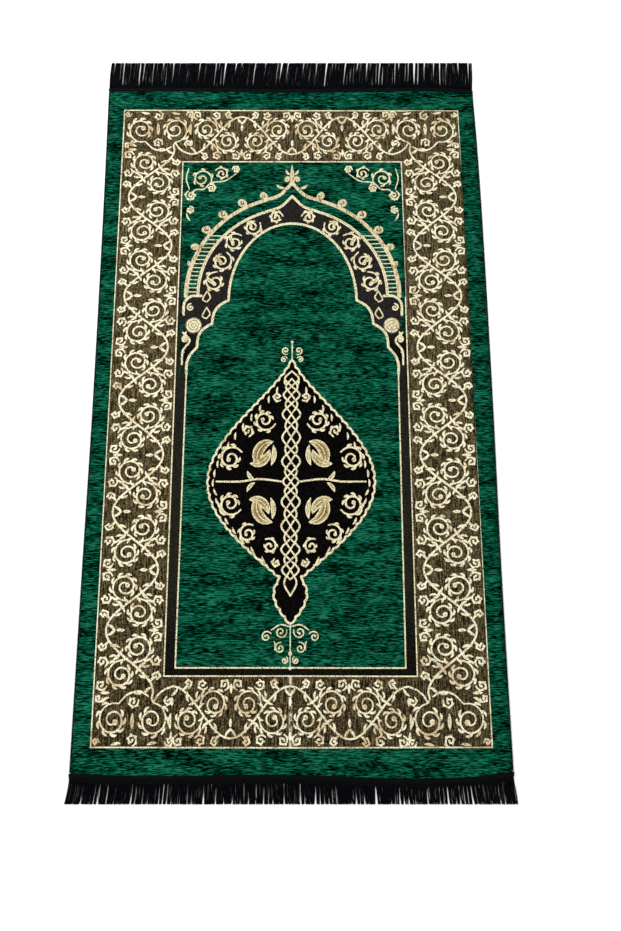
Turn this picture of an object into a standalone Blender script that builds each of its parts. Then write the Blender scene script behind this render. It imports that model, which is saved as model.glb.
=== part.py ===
"""A woven prayer rug lying flat: a figured chenille panel, overcast side edges, and a fringe on each end.

Metres, +Z up. The origin is the centre of the cloth's underside. +Y points to the end with the niche,
called the far end here, and +X to the right of it.
"""

import math

import bmesh
import bpy

# The cloth that shows between the heading tapes, side edges included.
CLOTH_WIDTH = 0.680
CLOTH_LENGTH = 1.150
PANEL_THICKNESS = 0.0025
GAP = 0.0003  # between pieces that touch

# The overcast thread along each side.
SERGING_WIDTH = 0.0025
SERGING_HEIGHT = 0.0032
SERGING_ROUNDING = 0.0008

# The heading tape of each fringe, sewn on top of the panel's end.
TAPE_LAP = 0.0035  # how much of the panel it covers
TAPE_WIDTH = 0.0085
TAPE_THICKNESS = 0.0009
TAPE_EDGE_HEIGHT = 0.0018  # at the edge that the fringe hangs from
TAPE_STEP = 0.0016  # length of the slope from the panel down to that edge

# The fringes: a band of knotted yarn that splits into tufts, all trimmed along one straight line.
FAR_TIP_LINE = 0.640
NEAR_TIP_LINE = -0.621
TUFTS = 60
TUFT_GAP = 0.0012
TUFT_SEGMENTS = 3
FRINGE_BAND = 0.0022
FRINGE_HEIGHT = 0.0018
FRINGE_TIP_HEIGHT = 0.0010

# How far each edge stands out from its straight line.
# Columns: place along the edge from -1 to 1, distance out. Side edges run near to far, ends left to right.
LEFT_EDGE = ((-1.0, 0.0030), (-0.5, 0.0013), (0.0, -0.0010), (0.6, -0.0005), (1.0, 0.0015))
RIGHT_EDGE = ((-1.0, 0.0015), (-0.5, 0.0005), (0.0, 0.0022), (0.5, 0.0020), (0.8, 0.0002), (1.0, -0.0030))
FAR_EDGE = ((-1.0, 0.0040), (-0.5, 0.0042), (0.0, 0.0018), (0.5, 0.0040), (0.8, 0.0040), (1.0, -0.0012))
NEAR_EDGE = ((-1.0, 0.0020), (-0.7, 0.0056), (0.0, 0.0040), (0.5, 0.0095), (0.8, 0.0070), (1.0, -0.0010))
END_REACH = 8  # the ends' bows die out inwards as this power of the distance

# How far the tufts' tips lean sideways. Columns: place along the end from -1 to 1, distance to the right.
FAR_LEAN = ((-1.0, 0.0015), (-0.4, 0.0045), (0.0, 0.0060), (0.4, 0.0040), (0.8, 0.0015), (1.0, 0.0020))
NEAR_LEAN = ((-1.0, -0.0060), (-0.7, -0.0025), (0.0, 0.0010), (0.7, 0.0020), (1.0, 0.0045))

# The top face rises over the lengthwise fold the rug was stored with, and in long shallow waves.
FOLD_HEIGHT = 0.0008
FOLD_HALF_WIDTH = 0.016
# Columns: length of the wave, its direction in degrees from +X, height, phase in degrees.
WAVES = ((0.31, 20, 0.00030, 40), (0.46, 74, 0.00035, 200), (0.23, 121, 0.00015, 310))
CALM_EDGE = 0.030  # the rise dies out over this width along the cloth's outline

PANEL_COLUMNS = 10  # on each side of the fold
PANEL_ROWS = 32
EDGE_SECTIONS = 32

# Columns: base colour (linear), roughness.
CHENILLE = ((0.004, 0.062, 0.038), 0.85)
EDGE_THREAD = ((0.004, 0.010, 0.010), 0.80)
TAPE_BLACK = ((0.006, 0.006, 0.010), 0.75)
YARN_BLACK = ((0.008, 0.008, 0.011), 0.60)


def clear_scene():
    for obj in list(bpy.data.objects):
        bpy.data.objects.remove(obj, do_unlink=True)


def fabric(name, look):
    """A Principled material of one colour for a woven or yarn part."""
    colour, roughness = look
    material = bpy.data.materials.new(name)
    material.use_nodes = True
    shader = material.node_tree.nodes["Principled BSDF"]
    shader.inputs["Base Color"].default_value = (*colour, 1.0)
    shader.inputs["Roughness"].default_value = roughness
    shader.inputs["Metallic"].default_value = 0.0
    return material


def add_piece(name, shell, material):
    """Puts a finished bmesh in the scene as a named object, with its faces turned outwards."""
    bmesh.ops.recalc_face_normals(shell, faces=shell.faces)
    mesh = bpy.data.meshes.new(name)
    shell.to_mesh(mesh)
    shell.free()
    mesh.materials.append(material)
    piece = bpy.data.objects.new(name, mesh)
    bpy.context.scene.collection.objects.link(piece)
    return piece


def slope(rows, index):
    """The slope of a smooth curve through a table of (place, value) at one of its rows."""
    before, after = rows[max(index - 1, 0)], rows[min(index + 1, len(rows) - 1)]
    return (after[1] - before[1]) / (after[0] - before[0])


def read_rows(rows, place):
    """The value at a place on a smooth curve through a table of (place, value)."""
    place = min(max(place, rows[0][0]), rows[-1][0])
    index = next(i for i in range(len(rows) - 1) if place <= rows[i + 1][0])
    (start, first), (end, second) = rows[index], rows[index + 1]
    width = end - start
    part = (place - start) / width
    ease = part * part * (3 - 2 * part)
    leave = width * slope(rows, index) * part * (1 - part) ** 2
    arrive = width * slope(rows, index + 1) * part * part * (1 - part)
    return first + (second - first) * ease + leave - arrive


def lying(across, along):
    """Where a point of the straight-cut cloth lies once its edges bow."""
    u = across / (CLOTH_WIDTH / 2)
    v = min(max(along / (CLOTH_LENGTH / 2), -1.0), 1.0)
    side = RIGHT_EDGE if u > 0 else LEFT_EDGE
    end = FAR_EDGE if v > 0 else NEAR_EDGE
    x = across + u * read_rows(side, v)
    y = along + math.copysign(abs(v) ** END_REACH, v) * read_rows(end, u)
    return x, y


def calm(distance):
    """From 0 at the cloth's outline to 1 a little way in."""
    part = min(max(distance / CALM_EDGE, 0.0), 1.0)
    return part * part * (3 - 2 * part)


def rise(across, along):
    """How far the top face stands above the panel's even thickness."""
    height = FOLD_HEIGHT * math.exp(-((across / FOLD_HALF_WIDTH) ** 2))
    for length, direction, top, phase in WAVES:
        way = across * math.cos(math.radians(direction)) + along * math.sin(math.radians(direction))
        height += top * (1 + math.sin(2 * math.pi * way / length + math.radians(phase))) / 2
    sides = calm(CLOTH_WIDTH / 2 - abs(across))
    return height * sides * calm(CLOTH_LENGTH / 2 - abs(along))


def spread(start, end, steps):
    """Evenly spaced values from start to end, both included."""
    return [start + (end - start) * step / steps for step in range(steps + 1)]


def panel_columns(half_width):
    """Places across the panel: even ones each side, and close ones over the fold."""
    fold = [FOLD_HALF_WIDTH * part for part in (-1.0, -0.5, 0.0, 0.5, 1.0)]
    left = spread(-half_width, -2 * FOLD_HALF_WIDTH, PANEL_COLUMNS)
    right = spread(2 * FOLD_HALF_WIDTH, half_width, PANEL_COLUMNS)
    return left + fold + right


def build_panel():
    """The one woven sheet, flat underneath, reaching in under the heading tapes."""
    half_width = CLOTH_WIDTH / 2 - SERGING_WIDTH - GAP
    half_length = CLOTH_LENGTH / 2 + TAPE_LAP
    columns = panel_columns(half_width)
    rows = spread(-half_length, half_length, PANEL_ROWS)
    shell = bmesh.new()
    bottom = [[shell.verts.new((*lying(x, y), 0.0)) for x in columns] for y in rows]
    top = [[shell.verts.new((*lying(x, y), PANEL_THICKNESS + rise(x, y))) for x in columns] for y in rows]
    for layer in (bottom, top):
        for near, far in zip(layer, layer[1:]):
            for i in range(len(columns) - 1):
                shell.faces.new((near[i], near[i + 1], far[i + 1], far[i]))
    rims = (
        (bottom[0], top[0]),
        (bottom[-1], top[-1]),
        ([row[0] for row in bottom], [row[0] for row in top]),
        ([row[-1] for row in bottom], [row[-1] for row in top]),
    )
    for low, high in rims:
        for i in range(len(low) - 1):
            shell.faces.new((low[i], low[i + 1], high[i + 1], high[i]))
    return add_piece("woven_panel", shell, fabric("chenille", CHENILLE))


def sweep(shell, sections):
    """Joins a run of like sections, each a ring of vertices, and caps both ends."""
    rings = [[shell.verts.new(point) for point in section] for section in sections]
    for ring, following in zip(rings, rings[1:]):
        for i in range(len(ring)):
            j = (i + 1) % len(ring)
            shell.faces.new((ring[i], ring[j], following[j], following[i]))
    shell.faces.new(rings[0])
    shell.faces.new(rings[-1])


def serging_profile():
    """Rounded section of the overcast edge: (distance out from its inner face, height)."""
    w, h, r = SERGING_WIDTH, SERGING_HEIGHT, SERGING_ROUNDING
    return ((0.0, r), (r, 0.0), (w - r, 0.0), (w, r), (w, h - r), (w - r, h), (r, h), (0.0, h - r))


def build_serging(name, side, material):
    """The overcast thread along one side edge; side is -1 for the left and 1 for the right."""
    inner = CLOTH_WIDTH / 2 - SERGING_WIDTH
    end = CLOTH_LENGTH / 2 - GAP
    shell = bmesh.new()
    sections = []
    for along in spread(-end, end, EDGE_SECTIONS):
        ring = []
        for out, height in serging_profile():
            x, y = lying(side * (inner + out), along)
            ring.append((x, y, height))
        sections.append(ring)
    sweep(shell, sections)
    return add_piece(name, shell, material)


def tape_profile():
    """Section of the heading tape: (distance out from the end of the showing cloth, height)."""
    past_panel = TAPE_LAP + GAP
    lap_height = PANEL_THICKNESS + GAP
    lap_top = lap_height + TAPE_THICKNESS
    return (
        (past_panel, 0.0),
        (TAPE_WIDTH, 0.0),
        (TAPE_WIDTH, TAPE_EDGE_HEIGHT),
        (past_panel + TAPE_STEP, lap_top),
        (0.0, lap_top),
        (0.0, lap_height),
        (past_panel, lap_height),
    )


def build_tape(name, end, material):
    """The heading tape across one end; end is 1 for the far end and -1 for the near one."""
    shell = bmesh.new()
    sections = []
    for across in spread(-CLOTH_WIDTH / 2, CLOTH_WIDTH / 2, EDGE_SECTIONS):
        ring = []
        for out, height in tape_profile():
            x, y = lying(across, end * (CLOTH_LENGTH / 2 + out))
            ring.append((x, y, height))
        sections.append(ring)
    sweep(shell, sections)
    return add_piece(name, shell, material)


def comb_outline(end, tip_line, lean):
    """The fringe seen from above, as quads of (x, y): one band along the tape, and its tufts."""
    pitch = CLOTH_WIDTH / TUFTS
    start = CLOTH_LENGTH / 2 + TAPE_WIDTH + GAP
    quads = []

    def band_edge(across):
        inner = lying(across, end * start)
        outer = lying(across, end * (start + FRINGE_BAND))
        return inner, outer

    for tuft in range(TUFTS):
        left = -CLOTH_WIDTH / 2 + tuft * pitch
        right = left + pitch - (TUFT_GAP if tuft < TUFTS - 1 else 0.0)
        (left_in, left_out), (right_in, right_out) = band_edge(left), band_edge(right)
        quads.append((left_in, right_in, right_out, left_out))
        if tuft < TUFTS - 1:
            next_in, next_out = band_edge(left + pitch)
            quads.append((right_in, next_in, next_out, right_out))
        side = read_rows(lean, (left + right) / CLOTH_WIDTH)
        low_left, low_right = left_out, right_out
        for step in range(1, TUFT_SEGMENTS + 1):
            part = step / TUFT_SEGMENTS
            y_left = left_out[1] + (tip_line - left_out[1]) * part
            y_right = right_out[1] + (tip_line - right_out[1]) * part
            high_left = (left_out[0] + side * part * part, y_left)
            high_right = (right_out[0] + side * part * part, y_right)
            quads.append((low_left, low_right, high_right, high_left))
            low_left, low_right = high_left, high_right
    return quads


def build_fringe(name, end, tip_line, lean, material):
    """One comb: the flat outline given a thickness that thins towards the tips."""
    shell = bmesh.new()
    places = {}

    def corner(point, layer):
        x, y = point
        key = (round(x, 7), round(y, 7), layer)
        if key not in places:
            start = CLOTH_LENGTH / 2 + TAPE_WIDTH
            part = (abs(y) - start) / (abs(tip_line) - start)
            top = FRINGE_HEIGHT + (FRINGE_TIP_HEIGHT - FRINGE_HEIGHT) * part
            places[key] = shell.verts.new((x, y, top if layer else 0.0))
        return places[key]

    sides = {}
    for quad in comb_outline(end, tip_line, lean):
        shell.faces.new([corner(point, 0) for point in quad])
        shell.faces.new([corner(point, 1) for point in quad])
        for first, second in zip(quad, quad[1:] + quad[:1]):
            key = frozenset((corner(first, 0), corner(second, 0)))
            sides.setdefault(key, []).append((first, second))
    for edges in sides.values():
        if len(edges) == 1:
            first, second = edges[0]
            shell.faces.new((corner(first, 0), corner(second, 0), corner(second, 1), corner(first, 1)))
    return add_piece(name, shell, material)


def build_rug():
    clear_scene()
    build_panel()
    thread = fabric("edge_thread", EDGE_THREAD)
    build_serging("side_serging_left", -1, thread)
    build_serging("side_serging_right", 1, thread)
    tape = fabric("heading_tape", TAPE_BLACK)
    build_tape("fringe_tape_far", 1, tape)
    build_tape("fringe_tape_near", -1, tape)
    yarn = fabric("fringe_yarn", YARN_BLACK)
    build_fringe("fringe_far", 1, FAR_TIP_LINE, FAR_LEAN, yarn)
    build_fringe("fringe_near", -1, NEAR_TIP_LINE, NEAR_LEAN, yarn)


build_rug()
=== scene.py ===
"""Looks of the woven prayer rug: figured chenille panel, overcast sides, heading tapes and yarn fringes.

The figure is built from spirals, leaves and arches as tapered strokes, in millimetres from the cloth's
centre, on a grid of signed distances. Its outlines become the edges of the panel's own mesh, so every
colour area is geometry.
"""

import math
import random

import bmesh
import bpy
import numpy as np
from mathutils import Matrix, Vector
from mathutils.geometry import delaunay_2d_cdt


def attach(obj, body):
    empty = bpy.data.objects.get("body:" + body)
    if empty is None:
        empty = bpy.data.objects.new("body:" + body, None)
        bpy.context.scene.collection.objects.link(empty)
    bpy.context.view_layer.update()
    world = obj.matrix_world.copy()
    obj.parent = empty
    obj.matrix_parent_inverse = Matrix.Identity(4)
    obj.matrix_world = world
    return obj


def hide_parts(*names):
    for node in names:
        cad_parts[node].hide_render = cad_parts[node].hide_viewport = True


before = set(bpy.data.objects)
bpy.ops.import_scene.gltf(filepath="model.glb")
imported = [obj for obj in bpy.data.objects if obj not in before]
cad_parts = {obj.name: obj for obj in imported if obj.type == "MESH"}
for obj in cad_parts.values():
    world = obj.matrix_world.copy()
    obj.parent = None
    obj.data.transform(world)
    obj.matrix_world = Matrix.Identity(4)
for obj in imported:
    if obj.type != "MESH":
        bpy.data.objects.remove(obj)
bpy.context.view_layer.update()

# Sizes repeated from the CAD source, in metres.
CLOTH_WIDTH = 0.680
CLOTH_LENGTH = 1.150
PANEL_THICKNESS = 0.0025
GAP = 0.0003
SERGING_WIDTH = 0.0025
SERGING_HEIGHT = 0.0032
TAPE_LAP = 0.0035
TAPE_WIDTH = 0.0085
TAPE_THICKNESS = 0.0009
TAPE_EDGE_HEIGHT = 0.0018
TAPE_STEP = 0.0016
FAR_TIP_LINE = 0.640
NEAR_TIP_LINE = -0.621
LEFT_EDGE = ((-1.0, 0.0030), (-0.5, 0.0013), (0.0, -0.0010), (0.6, -0.0005), (1.0, 0.0015))
RIGHT_EDGE = ((-1.0, 0.0015), (-0.5, 0.0005), (0.0, 0.0022), (0.5, 0.0020), (0.8, 0.0002), (1.0, -0.0030))
FAR_EDGE = ((-1.0, 0.0040), (-0.5, 0.0042), (0.0, 0.0018), (0.5, 0.0040), (0.8, 0.0040), (1.0, -0.0012))
NEAR_EDGE = ((-1.0, 0.0020), (-0.7, 0.0056), (0.0, 0.0040), (0.5, 0.0095), (0.8, 0.0070), (1.0, -0.0010))
END_REACH = 8
FAR_LEAN = ((-1.0, 0.0015), (-0.4, 0.0045), (0.0, 0.0060), (0.4, 0.0040), (0.8, 0.0015), (1.0, 0.0020))
NEAR_LEAN = ((-1.0, -0.0060), (-0.7, -0.0025), (0.0, 0.0010), (0.7, 0.0020), (1.0, 0.0045))
FOLD_HEIGHT = 0.0008
FOLD_HALF_WIDTH = 0.016
WAVES = ((0.31, 20, 0.00030, 40), (0.46, 74, 0.00035, 200), (0.23, 121, 0.00015, 310))
CALM_EDGE = 0.030

# Layout of the figure, in millimetres from the cloth's centre: half widths and half lengths.
MM = 0.001
OUTER_FRAME = (310.0, 539.5)
INNER_FRAME = (200.0, 438.0)
FRAME_LINE = 2.0
BAND_SIDE = 181.5  # the line inside the dark band that follows the frame
BAND_NEAR = -425.0
BAND_LINE = 2.3
BAND_TOP = 45.0
REPEAT_PITCH = 184.5
HALF_REPEAT = 92.25
END_DEPTH = 101.5  # depth of the border at the ends, for which its repeat is drawn
SIDE_STRETCH = (OUTER_FRAME[0] - INNER_FRAME[0]) / END_DEPTH
# How far the figure's axis strays to the right. Columns: place along the cloth from -1 to 1, millimetres.
DESIGN_LEAN = ((-1.0, -3.0), (-0.7, -2.7), (-0.35, -2.2), (0.0, -0.6), (0.2, 0.7), (1.0, 0.4))

# The grid that the figure is drawn on, and how closely its outlines are kept.
CELL = 0.25
GRID_WIDTH = 315.0
GRID_LENGTH = 542.5
FAR_OFF = 9.0
CURVE_STEP = 0.6
CHUNK = 20
# How much fuller or leaner than its strokes each part of the figure is woven.
SIDE_GROW = 0.93
END_GROW = {1: 0.88, -1: 0.82}
MEDALLION_GROW = 1.06
FINE_GROW = 0.88
FILL_INSET = 1.9  # strokes thicker than twice this have a darker middle
CORE_INSET = 4.6  # and those thicker than twice this have a brown core
OUTLINE_TOLERANCE = 0.075
FILL_TOLERANCE = 0.10
SMALLEST_LOOP = 0.7  # square millimetres
MESH_PITCH = 10.0
# The painted highlight along the pressed fold is centred on this X.
FOLD_HIGHLIGHT_X = -0.0022  # X of the pressed fold where it crosses the near border

# Sizes of the motifs, in millimetres.
SPIRAL_CLOSE = 0.80  # how much of its radius a spiral loses on its way in
LEAF_TIP = 0.9
EYE_PART = 0.17  # the radius of its eye, as a part of its own
VINE_SWING = 37.0  # how far the border's vine strays from the middle of the border
MEDALLION_TOP, MEDALLION_FOOT = 69.0, -359.0
PEAR_HEIGHT, PEAR_HALF = 374.0, 137.0
PEAR_MIDDLE = -136.0
DROP_TOP, DROP_HALF = -278.0, 25.0
CHAIN = (50, 24, -6, -42, -84, -122, -150, -188, -228, -262, -292, -342)  # knots of the medallion's axis
ARCH_HALF, ARCH_SPRING, ARCH_TOP = 187.0, 184.0, 368.0
IMPOST = (172.0, 131.0)  # the rosette at the arch's foot
VEIN_WIDTHS = (0.5, 1.4, 0.5)
MEDALLION_LINE = 3.5
DISC_RINGS = (4.0, 8.6, 13.2)
RING_LINE = 0.9
LADDER_TOP = 300.0
LADDER_PITCH = 7.4
LADDER_RUNG = 1.6
TWILL_TOP = 66.0  # below this the dark ground is twill

# Colour areas of the panel.
GREEN, BORDER, GOLD, OLD_GOLD, BLACK, TWILL, TAN_GOLD, FIGURE_GOLD, BROWN = range(9)

WAVE_UNIT = math.pi / 10  # a Wave texture of this scale has one band in each unit of length

# Stitches and fringe yarn, in metres.
STITCH_PITCH = 0.0021
STITCH_RADIUS = 0.00062
TUFTS = 112
STRANDS_A_TUFT = 20
STRAND_POINTS = 7
STRAND_RADIUS = 0.00042
BAND_LENGTH = 0.0035

# Camera and floor, in metres.
CAMERA_TILT = 11.4  # degrees from straight down
CAMERA_AIM = 0.0854  # where its axis meets the floor, along Y
CAMERA_DISTANCE = 1.203
FLOOR_HALF = 6.0
FLOOR_DROP = 0.0003

rng = random.Random(68115)


def stroke(widths, *points, bulb=0.0):
    """A tapered curve through points: its widths at start, middle and end, and the radius of a disc on its end.

    With one width and one point it is a disc."""
    return widths, points, bulb


def spiral(centre, radius, start, turn, turns, part):
    """The point part of the way in along a spiral; start is in degrees, turn is 1 for anticlockwise."""
    angle = math.radians(start) + turn * 2 * math.pi * turns * part
    away = radius * (1 - SPIRAL_CLOSE * part**0.85)
    return centre[0] + away * math.cos(angle), centre[1] + away * math.sin(angle)


def volute(centre, radius, start, turn, turns=1.5, widths=(2.4, 3.2, 2.6)):
    """A stroke that winds in from its rim to a round eye."""
    steps = int(14 * turns)
    points = [spiral(centre, radius, start, turn, turns, k / steps) for k in range(steps + 1)]
    return stroke(widths, *points, bulb=max(1.9, EYE_PART * radius))


def leaf(base, heading, length, width, bend):
    """A pointed leaf from its base along a heading in degrees, bending to its left."""
    x, y = base
    points = [base]
    for part in (0.0, 1 / 3, 2 / 3, 1.0):
        angle = math.radians(heading + bend * part)
        x += length / 4 * math.cos(angle)
        y += length / 4 * math.sin(angle)
        points.append((x, y))
    return stroke((LEAF_TIP, width, LEAF_TIP), *points)


def scroll(centre, radius, start, turn, turns=1.5, leaves=6):
    """A volute with leaves that sweep off the outside of its first turn."""
    rows = [volute(centre, radius, start, turn, turns)]
    for k in range(leaves):
        part = (0.1 + 0.85 * k / leaves) / turns
        around = start + turn * 360 * turns * part
        base = spiral(centre, radius, start, turn, turns, part)
        rows.append(leaf(base, around + turn * 48, 0.52 * radius, max(2.6, 0.2 * radius), turn * 70))
    return rows


def turned(rows, width, height):
    """Rows of a rectangle turned half a turn about its middle."""
    return [(widths, [(width - x, height - y) for x, y in points], bulb) for widths, points, bulb in rows]


def pointed_arch(half, spring, top, tip):
    """Half of a round arch with a drawn-up tip, from its point down to its spring line."""
    points = []
    for angle in np.linspace(0, math.pi / 2, 14):
        x = half * math.sin(angle)
        points.append((x, spring + (top - spring) * math.cos(angle) + tip * math.exp(-x / 14)))
    return tuple(points)


def lobe(start, end, swell):
    """A foil of the opening: an arc that swells outwards between two cusps."""
    (ax, ay), (bx, by) = start, end
    length = math.hypot(bx - ax, by - ay)
    points = []
    for part in np.linspace(0, 1, 7):
        out = swell * math.sin(math.pi * part) / length
        points.append((ax + (bx - ax) * part - (by - ay) * out, ay + (by - ay) * part + (bx - ax) * out))
    return tuple(points)


def border_rows():
    """Half a border repeat as (along, depth): a wavy vine, a great scroll on each side, and small ones."""
    def vine(along):
        return END_DEPTH / 2 + VINE_SWING * math.cos(math.pi * along / HALF_REPEAT)

    half = scroll((26, 39), 22, 12, -1, 1.7, 8)
    half += scroll((11, 11), 8.5, 100, 1, 1.2, 4)
    half += scroll((45, 11), 8.5, 150, -1, 1.2, 5)
    half += scroll((68, 9), 7, 60, 1, 1.1, 4)
    half += [
        leaf((58, 36), 200, 14, 5.0, 50),
        leaf((50, 46), 250, 12, 4.4, -60),
        leaf((76, 18), 200, 11, 4.0, 60),
    ]
    half += [
        leaf((0, 72), -90, 12, 5.6, 0),
        leaf((8, 86), 250, 16, 4.6, -40),
        leaf((24, 80), 255, 15, 4.6, 45),
    ]
    half += [
        leaf((36, 68), 240, 12, 4.2, -50),
        leaf((0, 10), 90, 14, 5.0, 0),
        leaf((52, 21), 60, 11, 4.0, 40),
    ]
    rows = half + turned(half, HALF_REPEAT, END_DEPTH)
    wave = [(along, vine(along)) for along in np.linspace(0, HALF_REPEAT, 11)]
    rows.append(stroke((3.2, 3.6, 3.2), *wave))
    return rows


def corner_rows():
    """A corner of the border as (across, along): two facing scrolls with small ones between and beyond."""
    rows = scroll((215, 500), 25, -92, -1, 1.7, 8) + scroll((277, 500), 25, 250, 1, 1.7, 8)
    rows += scroll((246, 474), 9, 200, -1, 1.2, 5) + scroll((246, 527), 9, 100, 1, 1.2, 5)
    rows += scroll((190, 473), 7, -60, 1, 1.1, 4) + scroll((187, 529), 7.5, 0, 1, 1.2, 5)
    rows += scroll((301, 469), 6.5, 180, -1, 1.1, 4) + scroll((302, 531), 5.5, 180, 1, 1.1, 3)
    rows += [leaf((246, 512), -90, 22, 7.0, 0), leaf((186, 512), -80, 22, 6.0, -20)]
    rows += [stroke((3.2, 3.2, 2.6), (214.9, 461), (217, 469), (214, 475))]
    rows += [stroke((3.0, 3.4, 2.6), (184.5, 451.8), (198, 457), (207, 464), (214, 475))]
    rows += [stroke((3.0, 3.4, 2.6), (222, 466), (236, 459), (254, 463), (268, 476))]
    rows += [
        leaf((284, 468), 10, 14, 4.6, 50),
        leaf((262, 532), 0, 16, 5.0, 20),
        leaf((206, 531), 0, 16, 5.0, 20),
    ]
    return rows


def medallion_half(y):
    """Half the medallion's width at a height: a pear with a drawn-up point, on a small drop."""
    body = np.clip((MEDALLION_TOP - y) / PEAR_HEIGHT, 0, 1)
    drop = np.clip((DROP_TOP - y) / (DROP_TOP - MEDALLION_FOOT), 0, 1)
    pear = PEAR_HALF * np.abs(np.sin(math.pi * body**1.15)) ** 1.15
    return np.maximum(pear, DROP_HALF * np.abs(np.sin(math.pi * drop**0.85)))


def lilies():
    """The medallion's four broad leaves on one side, given for its upper and lower half."""
    upper = [
        leaf((30, -70), -15, 58, 17, -95),
        leaf((36, -84), -70, 44, 14, 70),
        leaf((30, -76), -100, 34, 8, 30),
    ]
    lower = []
    for widths, points, bulb in upper:
        lower.append((widths, [(x, 2 * PEAR_MIDDLE - y) for x, y in points], bulb))
    return upper + lower


def medallion_rows():
    """Lilies, scrolls, an axis of two interlaced chains and a row of leaves inside the edge."""
    rows = lilies()
    rows += scroll((45, -34), 19, 200, 1, 1.5, 7) + scroll((101, -98), 21, 150, -1, 1.5, 7)
    rows += scroll((100, -172), 20, 210, 1, 1.5, 7) + scroll((70, -220), 16, 120, -1, 1.4, 6)
    rows += scroll((34, -240), 13, 60, 1, 1.3, 5) + scroll((74, -52), 10, 250, -1, 1.2, 5)
    rows += scroll((24, 6), 8, 230, 1, 1.2, 4) + scroll((23, -266), 7, 60, -1, 1.1, 4)
    rows += [
        stroke((2.6, 3.0, 2.4), (16, PEAR_MIDDLE), (52, PEAR_MIDDLE + 4), (84, PEAR_MIDDLE), (124, PEAR_MIDDLE)),
    ]
    rows += [leaf((60, PEAR_MIDDLE + 2), 30, 20, 6, 40), leaf((60, PEAR_MIDDLE - 2), -30, 20, 6, -40)]
    for shift, half in ((0.0, 15.0), (0.5, 10.0)):
        heights = np.interp(np.arange(11) + shift, np.arange(len(CHAIN)), CHAIN)
        for top, foot in zip(heights, heights[1:]):
            wide = min(half, 0.42 * (top - foot) + 1)
            rows.append(stroke((2.4, 2.8, 2.4), (0, top), (wide, (top + foot) / 2), (0, foot)))
    for y in np.arange(38, -270, -15.5):
        rows.append(leaf((medallion_half(y) - 8, y), -75 if y > PEAR_MIDDLE else -105, 12, 3.4, -25))
    return rows


def finial_rows():
    """The sprays above and below the medallion."""
    rows = [stroke((1.8, 2.2, 1.6), (0, 70), (0, 98)), stroke((4.6,), (0, 101)), stroke((3.8,), (0, 91))]
    rows += [
        volute((11, 86), 7.5, 250, 1, 1.2, (1.8, 2.6, 2.0)),
        volute((14, 70), 6, 150, -1, 1.2, (1.8, 2.4, 1.8)),
    ]
    rows += [
        stroke((1.8, 2.2, 1.6), (0, -358), (0, -424)),
        stroke((5.6,), (0, -404)),
        stroke((4.4,), (0, -426)),
    ]
    hanging = (((15, -372), 10, 160, 1), ((38, -379), 9, 150, -1), ((16, -396), 9, 100, -1))
    for centre, radius, start, turn in hanging:
        rows.append(volute(centre, radius, start, turn, 1.3, (1.8, 2.6, 2.0)))
    rows += [volute((9, -414), 6, 120, 1, 1.2, (1.6, 2.4, 1.8))]
    rows += [
        stroke((1.6, 2.4, 1.8), (0, -364), (16, -361), (30, -369)),
        leaf((26, -386), -120, 14, 3.6, 50),
    ]
    return rows


def crest_rows():
    """The finial on the arch's point, and crockets along its back."""
    rows = [stroke((8, 7, 1.4), (0, 394), (0, 408), (0, 430)), volute((9, 402), 6, 190, -1, 1.1, (4, 4, 3))]
    rows += [leaf((3, 412), 20, 13, 4.4, 60), leaf((14, 386), 0, 16, 5, 50)]
    for degrees, size in ((15, 6.5), (27, 7.5), (39, 7.5), (51, 7.5), (62, 6.0), (72, 4.5)):
        angle = math.radians(degrees)
        x, y = ARCH_HALF * math.sin(angle), ARCH_SPRING + (ARCH_TOP - ARCH_SPRING) * math.cos(angle)
        away = size + 5
        centre = (x + away * math.sin(angle) * (0.4 if degrees > 70 else 1), y + away * math.cos(angle))
        rows.append(volute(centre, size, 270 - degrees, 1, 1.0, (4.4, 4.2, 3.2)))
        rows.append(leaf((x, y), 130 - degrees, size * 2.2, 4.6, -40))
    return rows


def niche_rows():
    """Scrolls that fill the arch's head, and the rosettes and almonds at its foot."""
    rows = []
    for k, (degrees, size) in enumerate(((12, 12.5), (31, 16), (48, 18), (64, 19), (79, 19))):
        angle = math.radians(degrees)
        centre = (139 * math.sin(angle), 180 + 153 * math.cos(angle))
        rows += scroll(centre, size, 180 - degrees, 1 if k % 2 else -1, 1.5, 6)
        rows.append(leaf(centre, 80 - degrees, size * 0.9, size * 0.36, 70))
    for low, high in ((131, 163), (161, 193)):
        rows.append(stroke((2.0, 2.4, 2.0), (150, high), (157, (low + high) / 2), (150, low + 12)))
        rows.append(stroke((2.0, 2.4, 2.0), (150, high), (144, (low + high) / 2 + 4), (150, low + 12)))
    rows += [
        stroke((28.0,), IMPOST),
        stroke((4.4, 4.4, 4.4), (160, 184), (178, 183), (189, 172), (190, 150)),
    ]
    rows += [
        volute((178, 163), 7, 90, -1, 1.1),
        volute((186, 106), 6, 90, -1, 1.2),
        leaf((184, 120), -60, 16, 5, -60),
    ]
    rows += [
        stroke((3.0, 3.6, 3.0), (190, 118), (178, 104), (189, 86), (190, 62)),
        stroke((5.6,), (189, 84)),
    ]
    return rows


def spandrel_rows():
    """Scrollwork in the green corners above the arch."""
    rows = []
    places = (
        ((164, 404), 19, 210, -1),
        ((128, 414), 13, 30, 1),
        ((183, 372), 10, 60, -1),
        ((184, 344), 7, 90, 1),
        ((102, 422), 7, 0, 1),
        ((146, 386), 8, 60, 1),
    )
    for centre, size, start, turn in places:
        rows += scroll(centre, size, start, turn, 1.5, 5)
    rows += [
        stroke((1.8, 2.6, 1.8), (102, 414), (122, 400), (147, 396), (160, 384), (176, 382), (184, 362)),
    ]
    rows += [
        stroke((1.8, 2.6, 1.8), (188, 424), (192, 404), (186, 384)),
        leaf((190, 338), -100, 16, 3.6, -30),
    ]
    return rows


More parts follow.
